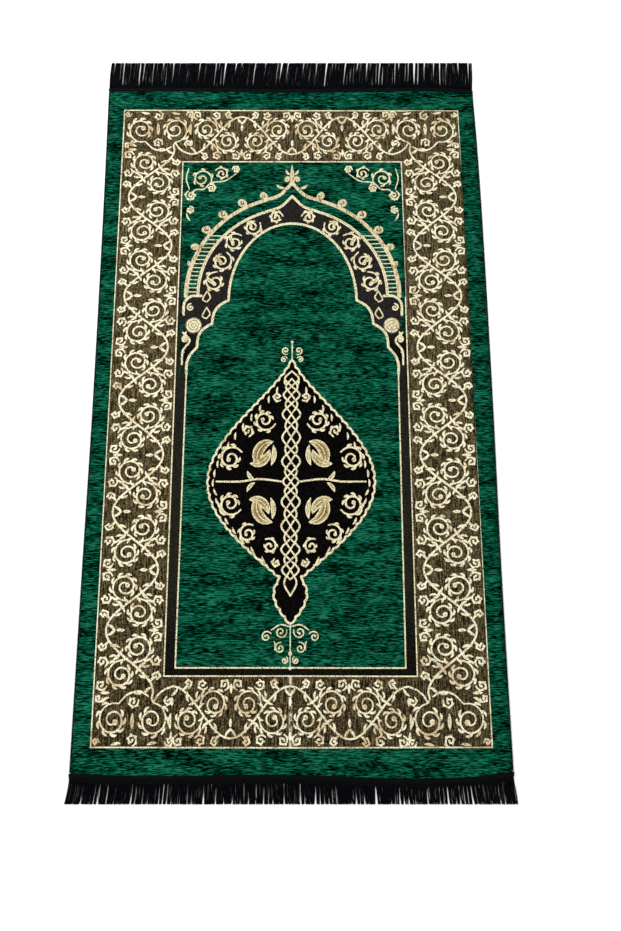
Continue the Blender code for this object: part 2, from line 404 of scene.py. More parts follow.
OUTER_BAND = pointed_arch(ARCH_HALF, ARCH_SPRING, ARCH_TOP, 28)
INNER_BAND = pointed_arch(166, 187, 346, 24)
HEAD = tuple((112 * math.sin(t), 176 + 142 * math.cos(t)) for t in np.linspace(0, math.pi / 2, 12))
OPENING = (
    HEAD,
    lobe((112, 176), (140, 134), 9),
    lobe((140, 134), (165, 92), 9),
    lobe((165, 92), (BAND_SIDE, BAND_TOP), 7),
)
ARCH_SIDE = ((166, 184), (178, 183), (189, 172), (190, 150), (190, 120), (199, 112))


def smooth_curve(points, step=CURVE_STEP):
    """Points every step or so along a centripetal Catmull-Rom curve, with each one's place on it, 0 to 1."""
    p = np.array(points, float)
    if len(p) == 2:
        count = max(2, int(np.hypot(*(p[1] - p[0])) / (4 * step)) + 1)
        part = np.linspace(0, 1, count)
        return p[0] + (p[1] - p[0]) * part[:, None], part
    if np.allclose(p[0], p[-1]):
        q = np.vstack([p[-2], p, p[1]])
    else:
        q = np.vstack([2 * p[0] - p[1], p, 2 * p[-1] - p[-2]])
    pieces = []
    for p0, p1, p2, p3 in zip(q, q[1:], q[2:], q[3:]):
        d1, d2, d3 = (math.sqrt(max(np.hypot(*gap), 1e-6)) for gap in (p1 - p0, p2 - p1, p3 - p2))
        leave = d2 * ((p1 - p0) / d1 - (p2 - p0) / (d1 + d2) + (p2 - p1) / d2)
        arrive = d2 * ((p2 - p1) / d2 - (p3 - p1) / (d2 + d3) + (p3 - p2) / d3)
        count = max(2, int(np.hypot(*(p2 - p1)) * 1.15 / step) + 1)
        t = np.linspace(0, 1, count, endpoint=False)[:, None]
        pieces.append(
            (2 * t**3 - 3 * t**2 + 1) * p1
            + (t**3 - 2 * t**2 + t) * leave
            + (3 * t**2 - 2 * t**3) * p2
            + (t**3 - t**2) * arrive
        )
    curve = np.vstack([*pieces, p[-1:]])
    run = np.concatenate([[0], np.cumsum(np.hypot(*np.diff(curve, axis=0).T))])
    return curve, run / run[-1]


class Figure:
    """Signed distance to the figure over the right half of the cloth, in millimetres: negative inside."""

    def __init__(self):
        self.columns = int(GRID_WIDTH / CELL) + 1
        self.rows = int(2 * GRID_LENGTH / CELL) + 1
        self.distance = np.full((self.rows, self.columns), FAR_OFF, np.float32)
        self.grow = 1.0

    def window(self, low, high):
        """The part of the grid between two corners, with its coordinates, or nothing when it is outside."""
        left = max(0, int(low[0] / CELL))
        right = min(self.columns, int(high[0] / CELL) + 2)
        near = max(0, int((low[1] + GRID_LENGTH) / CELL))
        far = min(self.rows, int((high[1] + GRID_LENGTH) / CELL) + 2)
        if left >= right or near >= far:
            return None
        x = np.arange(left, right, dtype=np.float32)[None, :] * CELL
        y = np.arange(near, far, dtype=np.float32)[:, None] * CELL - GRID_LENGTH
        return self.distance[near:far, left:right], x, y

    def disc(self, centre, radius):
        reach = radius + 2.5
        found = self.window((centre[0] - reach, centre[1] - reach), (centre[0] + reach, centre[1] + reach))
        if found:
            part, x, y = found
            np.minimum(part, np.hypot(x - centre[0], y - centre[1]) - radius, out=part)

    def cut(self, other):
        """Take another figure out of this one."""
        self.distance = np.maximum(self.distance, -other.distance)

    def path(self, curve, radii):
        """Draws a line with a radius at each of its points."""
        for first in range(0, len(curve) - 1, CHUNK):
            points, sizes = curve[first : first + CHUNK + 1], radii[first : first + CHUNK + 1]
            reach = sizes.max() + 2.5
            found = self.window(points.min(0) - reach, points.max(0) + reach)
            if not found:
                continue
            part, x, y = found
            for a, b, size, following in zip(points, points[1:], sizes, sizes[1:]):
                way = b - a
                along = ((x - a[0]) * way[0] + (y - a[1]) * way[1]) / (way @ way + 1e-9)
                np.clip(along, 0, 1, out=along)
                off = np.hypot(x - a[0] - along * way[0], y - a[1] - along * way[1])
                off -= size + (following - size) * along
                np.minimum(part, off, out=part)

    def draw(self, row, place):
        """Draws one stroke, with place() saying where its points go."""
        widths, points, bulb = row
        if len(widths) == 1:
            self.disc(place(points[0]), widths[0] / 2)
            return
        curve, t = smooth_curve([place(point) for point in points])
        start, middle, end = widths
        radii = (1 - t) * (1 - 2 * t) * start + 4 * t * (1 - t) * middle + t * (2 * t - 1) * end
        self.path(curve, np.maximum(self.grow * radii / 2, 0.15))
        if bulb:
            self.disc(curve[-1], bulb)

    def line(self, points, width):
        """Draws a line of even width straight from point to point."""
        curve = np.array(points, float)
        self.path(curve, np.full(len(curve), width / 2))

    def read(self, x, y):
        """The distance at points of either half."""
        d = self.distance
        column = np.clip(np.abs(x) / CELL, 0, self.columns - 1.001)
        row = np.clip((y + GRID_LENGTH) / CELL, 0, self.rows - 1.001)
        i, j = column.astype(int), row.astype(int)
        a, b = column - i, row - j
        lower = d[j, i] * (1 - a) + d[j, i + 1] * a
        upper = d[j + 1, i] * (1 - a) + d[j + 1, i + 1] * a
        return lower * (1 - b) + upper * b


def scalloped(points, pitch, height):
    """A smooth line with a row of shallow bumps along its outer side."""
    curve, _ = smooth_curve(points)
    run = np.concatenate([[0], np.cumsum(np.hypot(*np.diff(curve, axis=0).T))])
    bumps = max(1, round(run[-1] / pitch))
    swell = np.abs(np.sin(math.pi * bumps * run / run[-1])) ** 0.75
    way = np.gradient(curve, axis=0)
    way /= np.hypot(*way.T)[:, None]
    return curve + np.stack([-way[:, 1], way[:, 0]], 1) * (height * swell)[:, None]


def draw_border(figure):
    side_x, end_y = INNER_FRAME

    def on_side(axis, turn):
        return lambda q: (side_x + q[1] * SIDE_STRETCH, axis + turn * q[0])

    def on_end(axis, turn, end):
        return lambda q: (axis + turn * q[0], end * (end_y + q[1]))

    halves = []
    for repeat in (-2, -1, 0, 1, 2):
        for turn in (-1, 1):
            halves.append((on_side(repeat * REPEAT_PITCH, turn), SIDE_GROW))
    for end in (-1, 1):
        for turn in (-1, 1):
            halves.append((on_end(HALF_REPEAT, turn, end), END_GROW[end]))
    repeat_rows, corner = border_rows(), corner_rows()
    for place, grow in halves:
        figure.grow = grow
        for row in repeat_rows:
            figure.draw(row, place)
    for end in (-1, 1):
        figure.grow = END_GROW[end]
        for row in corner:
            figure.draw(row, lambda q: (q[0], end * q[1]))


def box_line(half_width, half_length):
    """A rectangle's outline in the right half, from axis to axis."""
    return ((0, half_length), (half_width, half_length), (half_width, -half_length), (0, -half_length))


def draw_frames(figure):
    inset = FRAME_LINE / 2
    for half_width, half_length in (OUTER_FRAME, INNER_FRAME):
        figure.line(box_line(half_width - inset, half_length - inset), FRAME_LINE)
    figure.line(((BAND_SIDE, BAND_TOP), (BAND_SIDE, BAND_NEAR), (0, BAND_NEAR)), BAND_LINE)


def same(q):
    return q


def draw_medallion(figure):
    figure.grow = MEDALLION_GROW
    for row in medallion_rows():
        figure.draw(row, same)
    figure.grow = FINE_GROW
    for row in finial_rows():
        figure.draw(row, same)
    figure.line(medallion_outline(), MEDALLION_LINE)


def medallion_outline():
    heights = np.linspace(MEDALLION_TOP, MEDALLION_FOOT, 80)
    return scalloped([(float(medallion_half(y)), float(y)) for y in heights], 13.5, 2.4)


def draw_crest(figure):
    """The tan outer band of the arch with its finial and crockets."""
    figure.grow = 1.0
    for row in crest_rows():
        figure.draw(row, same)
    figure.draw(((6.0, 6.6, 7.6), OUTER_BAND, 0.0), same)


def draw_niche(figure):
    figure.grow = FINE_GROW
    for row in spandrel_rows():
        figure.draw(row, same)
    figure.grow = 1.0
    for row in niche_rows():
        figure.draw(row, same)
    figure.draw(((4.6, 5.0, 5.0), INNER_BAND, 0.0), same)
    rings = Figure()
    for radius in DISC_RINGS:
        turns = np.linspace(0, 2 * math.pi, 49)
        ring = [IMPOST[0] + radius * np.cos(turns), IMPOST[1] + radius * np.sin(turns)]
        rings.line(np.stack(ring, 1), RING_LINE)
    figure.cut(rings)
    for foil in OPENING:
        figure.draw(((4.2, 4.4, 4.2), foil, 0.0), same)
    inner, _ = smooth_curve(INNER_BAND)
    outer, _ = smooth_curve(OUTER_BAND)
    height = INNER_BAND[-1][1] + 4.0
    while height < LADDER_TOP:
        left = np.interp(height, inner[::-1, 1], inner[::-1, 0])
        right = np.interp(height, outer[::-1, 1], outer[::-1, 0])
        figure.line(((left, height), (right, height + 0.6)), LADDER_RUNG)
        height += LADDER_PITCH


def inside(outline, x, y):
    """Which points lie inside an outline given for the right half, closed along the axis."""
    x = np.abs(x) + 1e-6
    found = np.zeros(len(x), bool)
    points = np.array(outline)
    for (ax, ay), (bx, by) in zip(points, np.roll(points, -1, axis=0)):
        if ay == by:
            continue
        crosses = (ay > y) != (by > y)
        found ^= crosses & (x < ax + (y - ay) * (bx - ax) / (by - ay))
    return found


def ground_of(x, y):
    """The colour area of the ground at points that aren't on the figure."""
    area = np.full(len(x), GREEN)
    within_outer = (np.abs(x) < OUTER_FRAME[0] - 1) & (np.abs(y) < OUTER_FRAME[1] - 1)
    within_inner = (np.abs(x) < INNER_FRAME[0] - 1) & (np.abs(y) < INNER_FRAME[1] - 1)
    area[within_outer & ~within_inner] = BORDER
    field = [point for foil in OPENING for point in smooth_curve(foil)[0]]
    field += [(BAND_SIDE, BAND_TOP), (BAND_SIDE, BAND_NEAR), (0, BAND_NEAR)]
    head = list(smooth_curve(INNER_BAND)[0]) + list(ARCH_SIDE)
    head += [(INNER_FRAME[0] - 1, ARCH_SIDE[-1][1]), (INNER_FRAME[0] - 1, -INNER_FRAME[1] + 1)]
    head += [(0, -INNER_FRAME[1] + 1)]
    dark = within_inner & inside(head, x, y) & ~inside(field, x, y)
    area[dark] = np.where(y[dark] > TWILL_TOP, BLACK, TWILL)
    area[inside(medallion_outline(), x, y)] = BLACK
    return area


def outlines(d, tolerance):
    """The outlines where a grid of distances is nought, as chains of points simplified to the tolerance."""
    rows, columns = d.shape
    within = d < 0
    a, b, c, e = within[:-1, :-1], within[:-1, 1:], within[1:, 1:], within[1:, :-1]
    j, i = np.nonzero((a != b) | (b != c) | (c != e))
    a, b, c, e = a[j, i], b[j, i], c[j, i], e[j, i]
    upright = rows * columns
    bottom, top = j * columns + i, (j + 1) * columns + i
    left, right = upright + j * columns + i, upright + j * columns + i + 1
    crossed = np.stack([a != b, b != c, c != e, e != a], 1)
    names = np.stack([bottom, right, top, left], 1)
    plain = crossed.sum(1) == 2
    pairs = [names[plain][crossed[plain]].reshape(-1, 2)]
    saddle = ~plain
    risen = saddle & a
    fallen = saddle & ~a
    pairs += [names[risen][:, (3, 0)], names[risen][:, (1, 2)]]
    pairs += [names[fallen][:, (0, 1)], names[fallen][:, (2, 3)]]
    pairs = np.vstack(pairs)
    edges, index = np.unique(pairs, return_inverse=True)
    index = index.reshape(-1, 2)

    standing = edges >= upright
    at = np.where(standing, edges - upright, edges)
    j, i = at // columns, at % columns
    other_j, other_i = np.where(standing, j + 1, j), np.where(standing, i, i + 1)
    first, second = d[j, i].astype(float), d[other_j, other_i].astype(float)
    part = first / (first - second)
    x = (i + np.where(standing, 0.0, part)) * CELL
    y = (j + np.where(standing, part, 0.0)) * CELL - GRID_LENGTH
    points = np.stack([x, y], 1)

    ends = index.ravel()
    others = index[:, ::-1].ravel()
    order = np.argsort(ends, kind="stable")
    count = np.bincount(ends, minlength=len(edges))
    start = np.concatenate([[0], np.cumsum(count)[:-1]])
    near = others[order]
    links = np.full((len(edges), 2), -1)
    links[:, 0] = near[start]
    links[count > 1, 1] = near[start[count > 1] + 1]
    return [simplified(points[chain], tolerance) for chain in chains(links.tolist(), points)]


def chains(links, points):
    """Follows the links between points into open chains first and then closed loops, leaving out specks."""
    used = [False] * len(links)
    starts = [k for k, pair in enumerate(links) if pair[1] < 0] + list(range(len(links)))
    for begin in starts:
        if used[begin]:
            continue
        chain = [begin]
        used[begin] = True
        here = begin
        while True:
            one, other = links[here]
            following = one if not used[one] else other
            if following < 0 or used[following]:
                break
            used[following] = True
            chain.append(following)
            here = following
        if links[begin][1] >= 0:
            chain.append(begin)
            x, y = points[chain].T
            if abs(np.sum(x[:-1] * y[1:] - x[1:] * y[:-1])) / 2 < SMALLEST_LOOP:
                continue
        yield chain


def simplified(points, tolerance):
    """The points of a chain that matter, by Douglas and Peucker's method."""
    keep = np.zeros(len(points), bool)
    keep[[0, -1]] = True
    todo = [(0, len(points) - 1)]
    if np.allclose(points[0], points[-1]):
        middle = int(np.argmax(np.hypot(*(points - points[0]).T)))
        keep[middle] = True
        todo = [(0, middle), (middle, len(points) - 1)]
    while todo:
        first, last = todo.pop()
        if last - first < 2:
            continue
        way = points[last] - points[first]
        off = points[first + 1 : last] - points[first]
        length = math.hypot(*way)
        if length < 1e-9:
            far = np.hypot(*off.T)
        else:
            far = np.abs(off[:, 0] * way[1] - off[:, 1] * way[0]) / length
        worst = int(np.argmax(far))
        if far[worst] > tolerance:
            worst += first + 1
            keep[worst] = True
            todo += [(first, worst), (worst, last)]
    return points[keep]


def read_rows(rows, places):
    """The values at places on a smooth curve through a table of (place, value)."""
    knots = np.array(rows)
    places = np.clip(places, knots[0, 0], knots[-1, 0])
    last = len(rows) - 1
    before, after = np.maximum(np.arange(last + 1) - 1, 0), np.minimum(np.arange(last + 1) + 1, last)
    slopes = (knots[after, 1] - knots[before, 1]) / (knots[after, 0] - knots[before, 0])
    index = np.clip(np.searchsorted(knots[:, 0], places) - 1, 0, last - 1)
    width = knots[index + 1, 0] - knots[index, 0]
    part = (places - knots[index, 0]) / width
    ease = part * part * (3 - 2 * part)
    value = knots[index, 1] + (knots[index + 1, 1] - knots[index, 1]) * ease
    value += width * slopes[index] * part * (1 - part) ** 2
    return value - width * slopes[index + 1] * part * part * (1 - part)


def lying(across, along):
    """Where points of the straight-cut cloth lie once its edges bow, in metres."""
    u = np.asarray(across, float) / (CLOTH_WIDTH / 2)
    v = np.clip(np.asarray(along, float) / (CLOTH_LENGTH / 2), -1, 1)
    side = np.where(u > 0, read_rows(RIGHT_EDGE, v), read_rows(LEFT_EDGE, v))
    end = np.where(v > 0, read_rows(FAR_EDGE, u), read_rows(NEAR_EDGE, u))
    return across + u * side, along + np.sign(v) * np.abs(v) ** END_REACH * end


def calm(distance):
    part = np.clip(distance / CALM_EDGE, 0, 1)
    return part * part * (3 - 2 * part)


def rise(across, along):
    """How far the top face stands above the panel's even thickness, in metres."""
    height = FOLD_HEIGHT * np.exp(-((across / FOLD_HALF_WIDTH) ** 2))
    for length, direction, top, phase in WAVES:
        way = across * math.cos(math.radians(direction)) + along * math.sin(math.radians(direction))
        height = height + top * (1 + np.sin(2 * math.pi * way / length + math.radians(phase))) / 2
    return height * calm(CLOTH_WIDTH / 2 - np.abs(across)) * calm(CLOTH_LENGTH / 2 - np.abs(along))


def triangulated(points, edges):
    """Delaunay triangles that keep the edges: points, faces, and neighbours across free edges."""
    result = delaunay_2d_cdt([Vector(p) for p in points.tolist()], edges, [], 0, 1e-6)
    places, all_edges, faces, _, from_edges, _ = result
    places = np.array([tuple(p) for p in places])
    faces = np.array([face for face in faces if len(face) == 3])
    kept = np.array([sorted(edge) for edge, origin in zip(all_edges, from_edges) if len(origin)])
    base = len(places)
    kept = np.unique(kept[:, 0] * base + kept[:, 1])
    sides = np.sort(np.concatenate([faces[:, (0, 1)], faces[:, (1, 2)], faces[:, (2, 0)]]), axis=1)
    owner = np.tile(np.arange(len(faces)), 3)
    keys = sides[:, 0] * base + sides[:, 1]
    order = np.argsort(keys, kind="stable")
    keys, owner = keys[order], owner[order]
    twin = (keys[1:] == keys[:-1]) & ~np.isin(keys[1:], kept)
    return places, faces, np.stack([owner[:-1][twin], owner[1:][twin]], 1)


def regions(count, neighbours):
    """A number for each face, the same for all the faces of one connected region."""
    parent = list(range(count))
    for a, b in neighbours.tolist():
        while parent[a] != a:
            parent[a] = parent[parent[a]]
            a = parent[a]
        while parent[b] != b:
            parent[b] = parent[parent[b]]
            b = parent[b]
        if a != b:
            parent[max(a, b)] = min(a, b)
    for k in range(count):
        parent[k] = parent[parent[k]]
    return np.array(parent)


def outline_ring(half_width, half_length, pitch):
    """Points round a rectangle, anticlockwise from its near left corner."""
    wide, long = round(2 * half_width / pitch), round(2 * half_length / pitch)
    across = np.linspace(-half_width, half_width, wide + 1)[:-1]
    along = np.linspace(-half_length, half_length, long + 1)[:-1]
    ring = [(x, -half_length) for x in across] + [(half_width, y) for y in along]
    ring += [(-x, half_length) for x in across] + [(-half_width, -y) for y in along]
    return np.array(ring)


def grid_inside(half_width, half_length, pitch):
    across = np.arange(-half_width + pitch / 2, half_width - pitch / 4, pitch)
    along = np.arange(-half_length + pitch / 2, half_length - pitch / 4, pitch)
    x, y = np.meshgrid(across, along)
    return np.stack([x.ravel(), y.ravel()], 1)


def mirrored(points):
    return points * (-1, 1)


def panel_triangles(figure, crest, ribs, half_width, half_length):
    """The panel's top seen from above: its points in millimetres, its triangles and their colour areas."""
    ring = outline_ring(half_width, half_length, MESH_PITCH)
    points = [ring, grid_inside(half_width, half_length, MESH_PITCH)]
    edges = [(k, (k + 1) % len(ring)) for k in range(len(ring))]
    total = sum(len(part) for part in points)
    fill, centre = Figure(), Figure()
    fill.distance = np.maximum(figure.distance + FILL_INSET, -ribs.distance)
    centre.distance = np.maximum(figure.distance + CORE_INSET, 0.6 - ribs.distance)
    for layer, tolerance in ((figure, OUTLINE_TOLERANCE), (fill, FILL_TOLERANCE), (centre, FILL_TOLERANCE)):
        for chain in outlines(layer.distance, tolerance):
            for part in (chain, mirrored(chain)):
                points.append(part)
                edges += [(k, k + 1) for k in range(total, total + len(part) - 1)]
                total += len(part)
    places, faces, neighbours = triangulated(np.round(np.vstack(points), 4), edges)
    corners = places[faces]
    middle = corners.mean(1)
    one, two = corners[:, 1] - corners[:, 0], corners[:, 2] - corners[:, 0]
    turn = one[:, 0] * two[:, 1] - one[:, 1] * two[:, 0]
    faces[turn < 0] = faces[turn < 0][:, ::-1]
    size = np.abs(turn)
    region = regions(len(faces), neighbours)
    whole = np.bincount(region, size, len(faces)) + 1e-12
    gold, filled, core = (
        (np.bincount(region, size * (layer.read(*middle.T) < 0), len(faces)) / whole > 0.5)[region]
        for layer in (figure, fill, centre)
    )
    across, along = np.abs(middle).T
    inner = (across < INNER_FRAME[0] - 1) & (along < INNER_FRAME[1] - 1)
    area = ground_of(middle[:, 0], middle[:, 1])
    figured = (area == BLACK) & ((middle[:, 1] < TWILL_TOP) | (across < ARCH_SIDE[0][0]))
    area[gold] = np.where(inner[gold], FIGURE_GOLD, GOLD)
    area[filled | (gold & (crest.read(*middle.T) < 0.1))] = TAN_GOLD
    area[filled & figured] = OLD_GOLD
    area[core & figured] = BROWN
    return places, faces, area, len(ring)


def linear(red, green, blue):
    """An sRGB colour from 0 to 255 as a linear one."""
    parts = [c / 255 for c in (red, green, blue)]
    return tuple(c / 12.92 if c <= 10.3 / 255 else ((c + 0.055) / 1.055) ** 2.4 for c in parts)


class Material:
    """A Principled material under construction, with short names for the nodes that weaves need."""

    def __init__(self, name, roughness, specular=0.03):
        self.material = bpy.data.materials.new(name)
        self.material.use_nodes = True
        self.nodes = self.material.node_tree.nodes
        self.links = self.material.node_tree.links
        self.shader = self.nodes["Principled BSDF"]
        self.shader.inputs["Roughness"].default_value = roughness
        self.shader.inputs["Specular IOR Level"].default_value = specular
        self.coordinates = self.nodes.new("ShaderNodeTexCoord").outputs["Object"]
        self.height = None

    def noise(self, scale, detail=2.0, turn=0.0, distortion=0.0, seed=0.0):
        """Noise over the object's own coordinates; scale is cycles a metre across, along and up."""
        mapping = self.nodes.new("ShaderNodeMapping")
        mapping.inputs["Rotation"].default_value = (0.0, 0.0, math.radians(turn))
        mapping.inputs["Scale"].default_value = scale
        mapping.inputs["Location"].default_value = (seed, seed * 0.7, seed * 0.3)
        self.links.new(self.coordinates, mapping.inputs["Vector"])
        texture = self.nodes.new("ShaderNodeTexNoise")
        texture.inputs["Scale"].default_value = 1.0
        texture.inputs["Detail"].default_value = detail
        texture.inputs["Distortion"].default_value = distortion
        self.links.new(mapping.outputs["Vector"], texture.inputs["Vector"])
        return texture.outputs["Fac"]

    def bands(self, scale, turn=0.0, distortion=0.0, detail=0.0):
        """Fine parallel ribs, as in a twill; scale is ribs a metre, along X before the turn."""
        mapping = self.nodes.new("ShaderNodeMapping")
        mapping.inputs["Rotation"].default_value = (0.0, 0.0, math.radians(turn))
        self.links.new(self.coordinates, mapping.inputs["Vector"])
        texture = self.nodes.new("ShaderNodeTexWave")
        texture.inputs["Scale"].default_value = scale * WAVE_UNIT
        texture.inputs["Distortion"].default_value = distortion
        texture.inputs["Detail"].default_value = detail
        self.links.new(mapping.outputs["Vector"], texture.inputs["Vector"])
        return texture.outputs["Fac"]

    def math(self, operation, *values):
        node = self.nodes.new("ShaderNodeMath")
        node.operation = operation
        for socket, value in zip(node.inputs, values):
            if isinstance(value, float):
                socket.default_value = value
            else:
                self.links.new(value, socket)
        return node.outputs["Value"]

    def blend(self, parts):
        """The weighted sum of several outputs."""
        total = None
        for output, weight in parts:
            scaled = self.math("MULTIPLY", output, weight)
            total = scaled if total is None else self.math("ADD", total, scaled)
        return total

    def ramp(self, factor, *stops):
        """A colour ramp; each stop is (place, sRGB colour)."""
        node = self.nodes.new("ShaderNodeValToRGB")
        while len(node.color_ramp.elements) < len(stops):
            node.color_ramp.elements.new(0.5)
        for element, (place, colour) in zip(node.color_ramp.elements, stops):
            element.position = place
            element.color = (*linear(*colour), 1.0)
        self.links.new(factor, node.inputs["Fac"])
        return node.outputs["Color"]

    def mix(self, factor, first, second):
        node = self.nodes.new("ShaderNodeMix")
        node.data_type = "RGBA"
        self.links.new(factor, node.inputs["Factor"])
        self.links.new(first, node.inputs[6])
        self.links.new(second, node.inputs[7])
        return node.outputs[2]

    def ranged(self, output, start, end):
        """An output brought from the range between start and end to 0..1."""
        node = self.nodes.new("ShaderNodeMapRange")
        node.inputs["From Min"].default_value = start
        node.inputs["From Max"].default_value = end
        self.links.new(output, node.inputs["Value"])
        return node.outputs["Result"]

    def place(self):
        """The object's own X and Y."""
        node = self.nodes.new("ShaderNodeSeparateXYZ")
        self.links.new(self.coordinates, node.inputs["Vector"])
        return node.outputs["X"], node.outputs["Y"]

    def fold_highlight(self, output, colour):
        """The colour with a painted highlight: a pale broken line along the pressed fold where it crosses the
        near border.
        """
        x, y = self.place()
        off = self.math("ABSOLUTE", self.math("SUBTRACT", x, FOLD_HIGHLIGHT_X), 0.0)
        line = self.math("MULTIPLY", self.ranged(off, 0.0034, 0.0012), self.ranged(y, -0.39, -0.43))
        broken = self.ramp(
            self.noise((260, 150, 1), 2.0, seed=11.0),
            (0.44, (0, 0, 0)),
            (0.54, (235, 235, 235)),
        )
        factor = self.math("MULTIPLY", line, broken)
        pale = self.ramp(factor, (0.0, colour), (1.0, colour))
        return self.mix(factor, output, pale)

    def colour(self, output):
        self.links.new(output, self.shader.inputs["Base Color"])

    def bump(self, output, depth, strength=1.0):
        node = self.nodes.new("ShaderNodeBump")
        node.inputs["Strength"].default_value = strength
        node.inputs["Distance"].default_value = depth
        self.links.new(output, node.inputs["Height"])
        self.links.new(node.outputs["Normal"], self.shader.inputs["Normal"])


def chenille_green():
    """Cut chenille weft in streaks of dark and bright green, lying across the cloth."""
    look = Material("chenille_green", 0.95, specular=0.0)
    streak = look.noise((66, 580, 1), 2.0, distortion=0.3)
    patch = look.noise((12, 50, 1), 2.0, seed=3.1)
    dash = look.noise((130, 900, 1), 1.0, seed=7.7)
    tone = look.blend(((streak, 0.50), (patch, 0.18), (dash, 0.32)))
    pile = look.ramp(
        tone,
        (0.43, (0, 6, 2)),
        (0.455, (0, 30, 17)),
        (0.48, (0, 57, 39)),
        (0.52, (3, 75, 54)),
        (0.585, (30, 108, 82)),
    )
    gaps = look.blend(((look.noise((76, 680, 1), 1.0, seed=21.0), 0.7), (patch, 0.3)))
    shown = look.ramp(gaps, (0.42, (30, 30, 30)), (0.442, (255, 255, 255)))
    base = look.ramp(tone, (0.4, (0, 2, 0)), (0.6, (0, 14, 7)))
    look.colour(look.mix(shown, base, pile))
    look.bump(look.blend(((streak, 0.5), (dash, 0.5))), 0.0010)
    return look.material


def border_ground():
    """Brown warp-faced ground with fine lengthwise lines and pale flecks."""
    look = Material("border_ground", 0.9, specular=0.0)
    lines = look.noise((560, 50, 1), 1.0)
    fleck = look.noise((380, 380, 1), 2.0, seed=4.0)
    tone = look.blend(((lines, 0.5), (fleck, 0.5)))
    x, y = look.place()
    # Painted shade: the ground grows darker towards the near end of the cloth.
    tone = look.math("ADD", tone, look.math("MULTIPLY", look.ranged(y, -0.56, 0.1), 0.03))
    ground = look.ramp(
        tone,
        (0.41, (18, 13, 4)),
        (0.47, (46, 39, 23)),
        (0.53, (66, 58, 39)),
        (0.64, (116, 105, 76)),
    )
    # Painted highlight along the pressed fold, in pale cream over the brown ground.
    look.colour(look.fold_highlight(ground, (214, 202, 172)))
    look.bump(look.blend(((lines, 0.5), (fleck, 0.5))), 0.0005)
    return look.material


def gold_thread(name, pale, tan, dark, grain, cover):
    """Flat yarn that turns from pale to tan, more so at the ends, with ground between the picks."""
    look = Material(name, 0.7, specular=0.05)
    x, y = look.place()
    ends = look.ranged(look.math("ABSOLUTE", y, 0.0), 0.38, 0.52)
    patch = look.noise((34, 34, 1), 2.0, seed=1.0)
    patch = look.math("ADD", patch, look.math("MULTIPLY_ADD", ends, -0.14, 0.08))
    weave = look.noise(grain, 2.0, seed=2.0)
    light = look.ramp(patch, (0.36, tan), (0.48, pale))
    shown = look.ramp(weave, (0.36, (cover, cover, cover)), (0.49, (255, 255, 255)))
    shade = look.ramp(patch, (0.40, dark), (0.54, dark))
    # Painted highlight along the pressed fold, near white over the gold.
    look.colour(look.fold_highlight(look.mix(shown, shade, light), (255, 250, 238)))
    look.bump(weave, 0.0007)
    return look.material


def dark_weave(name, low, middle, high, turn, painted_shade, start, end):
    """Near-black weave with a fine diagonal rib and painted shade: the tone falls by the given amount from Y
    start to Y end, darker towards the near end.
    """
    look = Material(name, 0.85, specular=0.0)
    rib = look.bands(420.0, turn, 0.6)
    speck = look.noise((500, 500, 1), 2.0, seed=5.0)
    x, y = look.place()
    # Painted shade: the tone falls towards the near end.
    tone = look.blend(((rib, 0.35), (speck, 0.65), (look.ranged(y, start, end), -painted_shade)))
    look.colour(look.ramp(tone, (0.25, low), (0.50, middle), (0.80, high)))
    look.bump(rib, 0.0004)
    return look.material


def thread_black(name, low, high, scale, roughness=0.7, specular=0.06):
    look = Material(name, roughness, specular=specular)
    strand = look.noise(scale, 2.0)
    look.colour(look.ramp(strand, (0.35, low), (0.70, high)))
    look.bump(strand, 0.0004)
    return look.material


def new_mesh(name, points, faces, materials, slots=None, smooth=None, uv=None):
    """A mesh object from arrays: triangles or quads as rows of indices, with a material for each face."""
    mesh = bpy.data.meshes.new(name)
    mesh.from_pydata(np.asarray(points).tolist(), [], np.asarray(faces).tolist())
    for material in materials:
        mesh.materials.append(material)
    if slots is not None:
        mesh.polygons.foreach_set("material_index", np.asarray(slots, np.int32))
    if smooth is not None:
        mesh.polygons.foreach_set("use_smooth", smooth)
    if uv is not None:
        layer = mesh.uv_layers.new(name="OFBake")
        layer.data.foreach_set("uv", np.asarray(uv, np.float32).ravel())
    mesh.update()
    piece = bpy.data.objects.new(name, mesh)
    bpy.context.scene.collection.objects.link(piece)
    return piece


